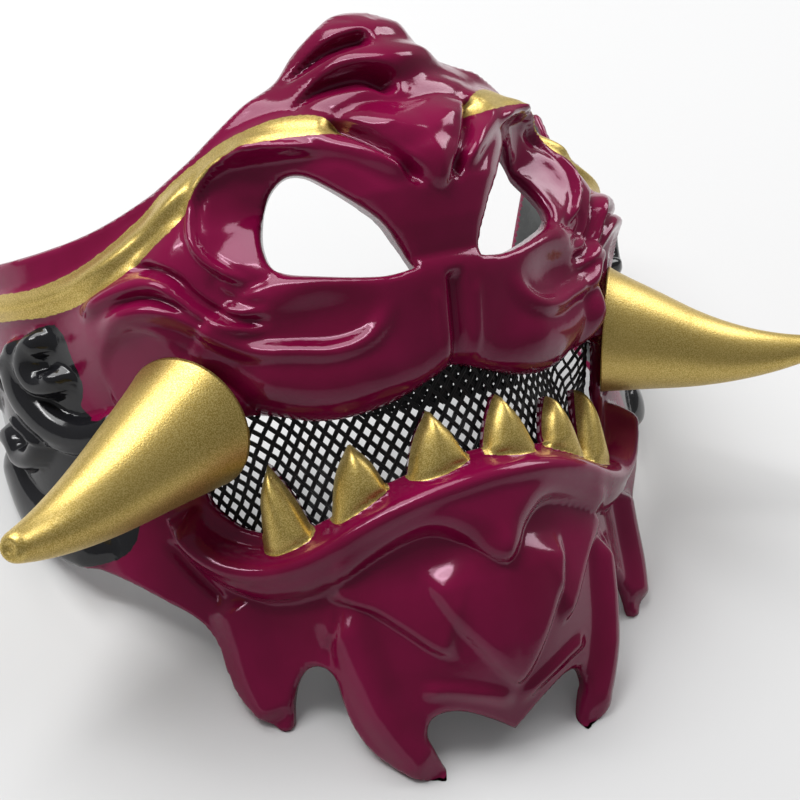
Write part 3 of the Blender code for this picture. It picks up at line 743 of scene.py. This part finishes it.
def makeShell(materials):
    # The outer face and the inside are two radii over one trimmed pattern. It is mirrored, rolled round the
    # head's axis and closed along the rim. A colour zone is kept at each point as the distance inside it.
    points, gap, faces, shape = trimmedPattern()
    print("pattern points", len(points))
    inner = innerRadius(carvedRadius(points)[0], shape)
    faces, edges, share = clipped(gap, faces)
    start, end = edges[:, 0], edges[:, 1]
    points = np.vstack([points, points[start] + (points[end] - points[start]) * share[:, None]])
    inner = np.concatenate([inner, inner[start] + (inner[end] - inner[start]) * share])
    used, faces = np.unique(faces, return_inverse=True)
    faces, points, inner = faces.reshape(-1, 3), points[used], inner[used]
    trim = np.maximum(trimGap(points), 0)
    outer, front = settledRadius(points)
    outer = outer - trimLines["edgeDrop"] * (1 - rounded(trim / trimLines["edgeRadius"]))
    inner = np.minimum(inner, outer - face["thinnest"])
    leftOuter = outer + carve(points, leftSide)
    gold = np.maximum(inside(points, onPattern(goldBand)), front)
    black = inside(points, onPattern(ear["black"]))
    middle = np.abs(points[:, 0]) < 1e-6
    mirrored = np.where(middle, np.arange(len(points)), len(points) + np.cumsum(~middle) - 1)
    faces = np.vstack([faces, mirrored[faces][:, ::-1]])
    points = np.vstack([points, points[~middle] * (-1, 1)])
    outer = np.concatenate([leftOuter, outer[~middle]])
    inner, gold, black, trim = (np.concatenate([row, row[~middle]]) for row in (inner, gold, black, trim))
    size = len(points)
    body = np.vstack([wrapped(points, outer), wrapped(points, inner)])
    body[:, 2] = np.maximum(body[:, 2], 0.0)  # ground flat where it rests
    rim = rimOf(faces, size)
    skins = np.vstack([faces, faces[:, ::-1] + size,
                       np.column_stack([rim[:, 1], rim[:, 0], rim[:, 0] + size]),
                       np.column_stack([rim[:, 1], rim[:, 0] + size, rim[:, 1] + size])])
    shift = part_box("mask_shell")[0][1] - body[:, 1].min()
    mesh = meshFrom("mask_shell_carved", body, skins, shift)
    bare = np.full(size, trimLines["bare"])
    for name, values in (("goldEdge", gold), ("blackEdge", black)):
        field = mesh.attributes.new(name, "FLOAT", "POINT")
        field.data.foreach_set("value", np.concatenate([values, bare]).astype(np.float32))
    addPiece("mask_shell_carved", mesh, materials, "magenta_gloss", "mask_shell")
    which = np.zeros(len(skins), np.int32)
    which[len(faces):2 * len(faces)] = (trim[faces] > trimLines["overspray"]).any(1)
    mesh.polygons.foreach_set("material_index", which)
    print("shell triangles", len(skins), "shift", round(float(shift), 5))
    return float(shift)


def tubeFaces(count, sides):  # two triangles for each step along and each side round
    start = np.arange(count - 1)[:, None] * sides
    one = (start + np.arange(sides)).ravel()
    two = (start + (np.arange(sides) + 1) % sides).ravel()
    return np.vstack([np.column_stack([one, two, two + sides]),
                      np.column_stack([one, two + sides, one + sides])])


tusk = {  # lengths in units, ways across, up and out of the face
    "baseRadius": 22.5,
    "tipRadius": 4.2,
    "reach": 74.8,  # from the seat to the tip in a straight line
    "gap": 0.3,  # between the seat and the tusk
    "bearing": (65.2, -22.7, 29.0),  # the way from base to tip
    "leaves": (0.87, -0.44, 0.10),  # the way that it starts
    "ends": (0.74, -0.02, 0.67),  # the way that it ends
    "bend": 1.07,  # weight of both, in shares of the reach
    "power": 0.92,  # of the taper
    "square": 0.35,  # share of the length over which the rings turn away from the seat's plane
    "rings": 96,
    "sides": 96,
    "tipRound": 2.6,  # length over which the end rounds off
    "tipSteps": 7,
    "tipShare": 0.62,  # of the radius, left when the end is round
    "dimple": 0.8,  # depth in the end
    "dimpleRings": ((0.5, 0.0), (0.32, 0.8), (0.12, 1.0)),  # shares of the radius and of the depth
    "lobes": (0.005, 3, 9, 1.4),  # height, how many, their twist, and how soon they are full
}


def tuskRing(t):
    # The middle runs on a cubic from seat to tip with a given direction at each end. The heading is the
    # cubic's slope, and the radius tapers by a power of t.
    seat = Vector(tuskSeat["middle"])
    facing = Vector(tuskSeat["facing"]).normalized()
    start = seat + facing * tusk["gap"]
    end = start + Vector(tusk["bearing"]).normalized() * tusk["reach"]
    leave = Vector(tusk["leaves"]).normalized() * tusk["reach"] * tusk["bend"]
    arrive = Vector(tusk["ends"]).normalized() * tusk["reach"] * tusk["bend"]
    point = ((2 * t**3 - 3 * t**2 + 1) * start + (t**3 - 2 * t**2 + t) * leave
             + (3 * t**2 - 2 * t**3) * end + (t**3 - t**2) * arrive)
    heading = ((6 * t**2 - 6 * t) * (start - end) + (3 * t**2 - 4 * t + 1) * leave
               + (3 * t**2 - 2 * t) * arrive)
    heading = facing.lerp(heading.normalized(), float(ease(t / tusk["square"]))).normalized()
    return point, heading, tusk["baseRadius"] + (tusk["tipRadius"] - tusk["baseRadius"]) * t ** tusk["power"]


def makeTusk(name, side, material, shift):
    # Rings square to the heading, with faint lobes. The end rounds off as a quarter circle and has a dimple.
    turn = np.linspace(0, 2 * pi, tusk["sides"], endpoint=False)
    roundFrom = 1 - tusk["tipRound"] / tusk["reach"]
    stations = [(t, 1.0, 0.0) for t in np.linspace(0, 1, tusk["rings"]) if t < roundFrom]
    for angle in np.linspace(0, pi / 2, tusk["tipSteps"])[:-1]:
        share = tusk["tipShare"] + (1 - tusk["tipShare"]) * cos(angle)
        stations.append((roundFrom + (1 - roundFrom) * sin(angle), share, 0.0))
    stations += [(1.0, share, -tusk["dimple"] * depth) for share, depth in tusk["dimpleRings"]]
    height, lobes, twist, soon = tusk["lobes"]
    rings = []
    for t, share, back in stations:
        point, heading, radius = tuskRing(float(t))
        upright = (Vector((0, 1, 0)) - heading * heading.y).normalized()
        sideways = heading.cross(upright)
        swell = 1 + height * np.sin(lobes * turn + twist * t) * sin(pi * min(t * soon, 1.0))
        section = np.outer(np.cos(turn), np.array(upright)) + np.outer(np.sin(turn), np.array(sideways))
        rings.append(np.array(point + heading * back) + radius * share * swell[:, None] * section)
    tip, heading, _ = tuskRing(1.0)
    ends = np.array([tuskRing(0.0)[0], tip - heading * tusk["dimple"]])
    points = np.vstack([*rings, ends])
    count, sides = len(rings), tusk["sides"]
    ring = np.arange(sides)
    after = (ring + 1) % sides
    last = (count - 1) * sides
    faces = np.vstack([tubeFaces(count, sides), np.column_stack([after, ring, np.full(sides, count * sides)]),
                       np.column_stack([last + ring, last + after, np.full(sides, count * sides + 1)])])
    if side > 0:
        faces = faces[:, ::-1]
    mesh = meshFrom(name, onTable(points[:, 0] * side, points[:, 1], points[:, 2]), faces, shift)
    addPiece(name, mesh, [material], "gold_paint", name.replace("_gilded", ""))
    print(name, len(faces))


netting = {  # lengths in units
    "pitch": 3.7,  # between threads of one family
    "lean": 50.0,  # degrees between a thread and the line of the mouth
    "strand": 0.38,  # each thread is a pair of strands, this far off its middle
    "halfWidth": 0.46,
    "halfDepth": 0.30,
    "weave": 0.26,  # how far a thread rides over and under
    "sample": 0.75,  # step along a thread
    "shortest": 4,  # steps in a run that is kept
    "sides": 5,
    "middle": (0, 112),  # on the pattern, where the threads are counted from
    "halfSpan": (160, 170),  # of the threads' field, and of each thread
    "halfFrame": (112, 34),  # nothing is worked out beyond it, across and up
    "margin": 3.6,  # kept beyond the mouth's outline
    "setback": 6.4,  # behind the plain head form
    "seatBlend": 9.0,  # on both sides of the seat's outline
    "cut": (0.176, 0.063),  # metres laid flat, the second layer of painted shade under the upper lip included
    "cutArea": 0.0070,
    "shadeLayerLow": 119.8,  # above this line, in the middle, the net lies double: the second layer is painted shade, standing in for the dark under the upper lip
    "shadeLayerReach": 17.5,  # degrees
    "shadeLayerBack": 0.9,
}


def netRadius(points):  # the head form, passing into the seat's plane near the tusk, less the setback
    blend = netting["seatBlend"]
    seat = ease((inside(points, onPattern(tuskSeat["outline"])) + blend) / (2 * blend))
    radius = headRadius(points)
    return radius + (seatRadius(points) - radius) * seat - netting["setback"]


def heldRuns(line, mouth, shadeLayer):  # the stretches of a thread inside the margin, or inside the part of the second layer, which is painted shade under the upper lip
    middle, frame = netting["middle"], netting["halfFrame"]
    line = line[(np.abs(line[:, 0]) < frame[0]) & (np.abs(line[:, 1] - middle[1]) < frame[1])]
    if len(line) < netting["shortest"]:
        return []
    reach = np.abs(line[:, 0])
    held = inside(np.column_stack([reach, line[:, 1]]), mouth) > -netting["margin"]
    # the second layer, painted shade, is kept to the band under the upper lip, near the middle
    if shadeLayer:
        held &= (line[:, 1] > netting["shadeLayerLow"]) & (reach < netting["shadeLayerReach"] * face["arc"])
    breaks = np.flatnonzero(np.diff(np.concatenate([[0], held.astype(int), [0]])))
    runs = [line[low:high] for low, high in zip(breaks[::2], breaks[1::2])]
    return [run for run in runs if len(run) >= netting["shortest"]]


def strandTube(run, side, strand, radius):  # an oval section carried along the run, closed at both ends
    rings = []
    for angle in np.linspace(0, 2 * pi, netting["sides"], endpoint=False):
        moved = run + side * (netting["halfWidth"] * cos(angle) + strand)
        rings.append(wrapped(moved, radius + netting["halfDepth"] * sin(angle)))
    fan = np.arange(1, netting["sides"] - 1)
    last = (len(run) - 1) * netting["sides"]
    faces = np.vstack([tubeFaces(len(run), netting["sides"]),
                       np.column_stack([fan + 1, fan, np.zeros_like(fan)]),
                       np.column_stack([last + fan, last + fan + 1, np.full(len(fan), last)])])
    return np.stack(rings, 1).reshape(-1, 3), faces


def makeNetting(material, shift):
    # Two families of straight threads on the pattern, and again for a second layer under the upper lip that
    # is painted shade. A thread rides over and under the other family by a cosine of the place across it, in
    # pitches.
    mouth = onPattern(trimLines["mouth"])
    lean = radians(netting["lean"])
    span, length = netting["halfSpan"]
    t = np.arange(-length, length, netting["sample"])
    allPoints, allFaces, start = [], [], 0
    # the second pass of each family is the layer of net under the upper lip that is painted shade
    for family, shadeLayer in ((-1, 0), (1, 0), (-1, 1), (1, 1)):
        way = np.array((cos(lean), family * sin(lean)))
        side = np.array((-way[1], way[0]))
        across = np.array((family * sin(lean), cos(lean)))  # square to the other family
        for offset in np.arange(-span, span, netting["pitch"]) + shadeLayer * netting["pitch"] / 2:
            line = np.array(netting["middle"]) + side * offset + t[:, None] * way
            runs = heldRuns(line, mouth, shadeLayer)
            for strand in (-netting["strand"], netting["strand"]):
                for run in runs:
                    phase = ((run - netting["middle"]) @ across) / netting["pitch"]
                    level = family * netting["weave"] * np.cos(pi * phase)
                    folded = np.column_stack([np.abs(run[:, 0]), run[:, 1]])
                    radius = netRadius(folded) + level - shadeLayer * netting["shadeLayerBack"]
                    points, faces = strandTube(run, side, strand, radius)
                    allPoints.append(points)
                    allFaces.append(faces + start)
                    start += len(points)
    faces = np.vstack(allFaces)
    mesh = meshFrom("mouth_netting_woven", np.vstack(allPoints), faces, shift)
    print("netting triangles", len(faces))
    piece = addPiece("mouth_netting_woven", mesh, [material], "black_net", "mouth_netting")


view = {
    "place": (-0.1949, -0.1631, 0.3979),
    "right": (0.890, -0.426, 0.161),
    "back": (-0.404, -0.576, 0.711),
    "lens": 63.0,
    "sensor": 36.0,
}


def makeCamera(shift):
    back = Vector(view["back"]).normalized()
    right = Vector(view["right"])
    right = (right - back * right.dot(back)).normalized()
    up = back.cross(right)
    camera = bpy.data.objects.new("camera", bpy.data.cameras.new("camera"))
    camera.data.lens = view["lens"]
    camera.data.sensor_width = view["sensor"]
    place = Vector(view["place"]) + Vector((0, shift, 0))
    turn = Matrix((right, up, back)).transposed().to_4x4()
    camera.matrix_world = Matrix.Translation(place) @ turn
    bpy.context.scene.collection.objects.link(camera)
    bpy.context.scene.camera = camera


tableTop = {
    "half": 6.0,  # metres
    "drop": -0.0002,
    "colour": (0.70, 0.70, 0.70),
    "roughness": 0.6,
}


def makeFloor():
    half = tableTop["half"]
    corners = [(-half, -half, 0), (half, -half, 0), (half, half, 0), (-half, half, 0)]
    mesh = bpy.data.meshes.new("floor")
    mesh.from_pydata(corners, [], [(0, 1, 2, 3)])
    floor = bpy.data.objects.new("floor", mesh)
    mesh.materials.append(newMaterial("paleFloor", tableTop["colour"], tableTop["roughness"])[0])
    floor.location.z = tableTop["drop"]
    bpy.context.scene.collection.objects.link(floor)


lamps = {
    "above": {"place": (-0.40, 0.75, 1.25), "aim": (0, 0, 0.08), "size": (1.3, 1.0), "power": 21.0},
    "strip": {"place": (-0.55, 0.35, 0.95), "aim": (0, 0, 0.1), "size": (0.10, 0.7), "power": 3.0},
    "right": {"place": (1.2, 0.5, 1.1), "aim": (0, 0, 0.05), "size": (0.8, 0.8), "power": 12.0},
}
surround = {
    "strength": 0.23,
    "colour": (0.97, 0.98, 1.0, 1.0),
    "viewTransform": "Standard",
}


def makeLights():
    for name, facts in lamps.items():
        data = bpy.data.lights.new(name, "AREA")
        data.shape = "RECTANGLE"
        data.size, data.size_y = facts["size"]
        data.energy = facts["power"]
        lamp = bpy.data.objects.new(name, data)
        lamp.location = facts["place"]
        aim = Vector(facts["aim"]) - Vector(facts["place"])
        lamp.rotation_euler = aim.to_track_quat("-Z", "Y").to_euler()
        bpy.context.scene.collection.objects.link(lamp)
    world = bpy.data.worlds.new("studio")
    world.use_nodes = True
    world.node_tree.nodes["Background"].inputs["Color"].default_value = surround["colour"]
    world.node_tree.nodes["Background"].inputs["Strength"].default_value = surround["strength"]
    bpy.context.scene.world = world
    bpy.context.scene.view_settings.view_transform = surround["viewTransform"]


paint = lacquer()
gold = satinGold()
shift = makeShell([paint, insidePaint()])
for side, name in ((-1, "tusk_right_gilded"), (1, "tusk_left_gilded")):
    makeTusk(name, side, gold, shift)
makeNetting(netThread(), shift)
makeCamera(shift)
makeFloor()
makeLights()
print("scene made")
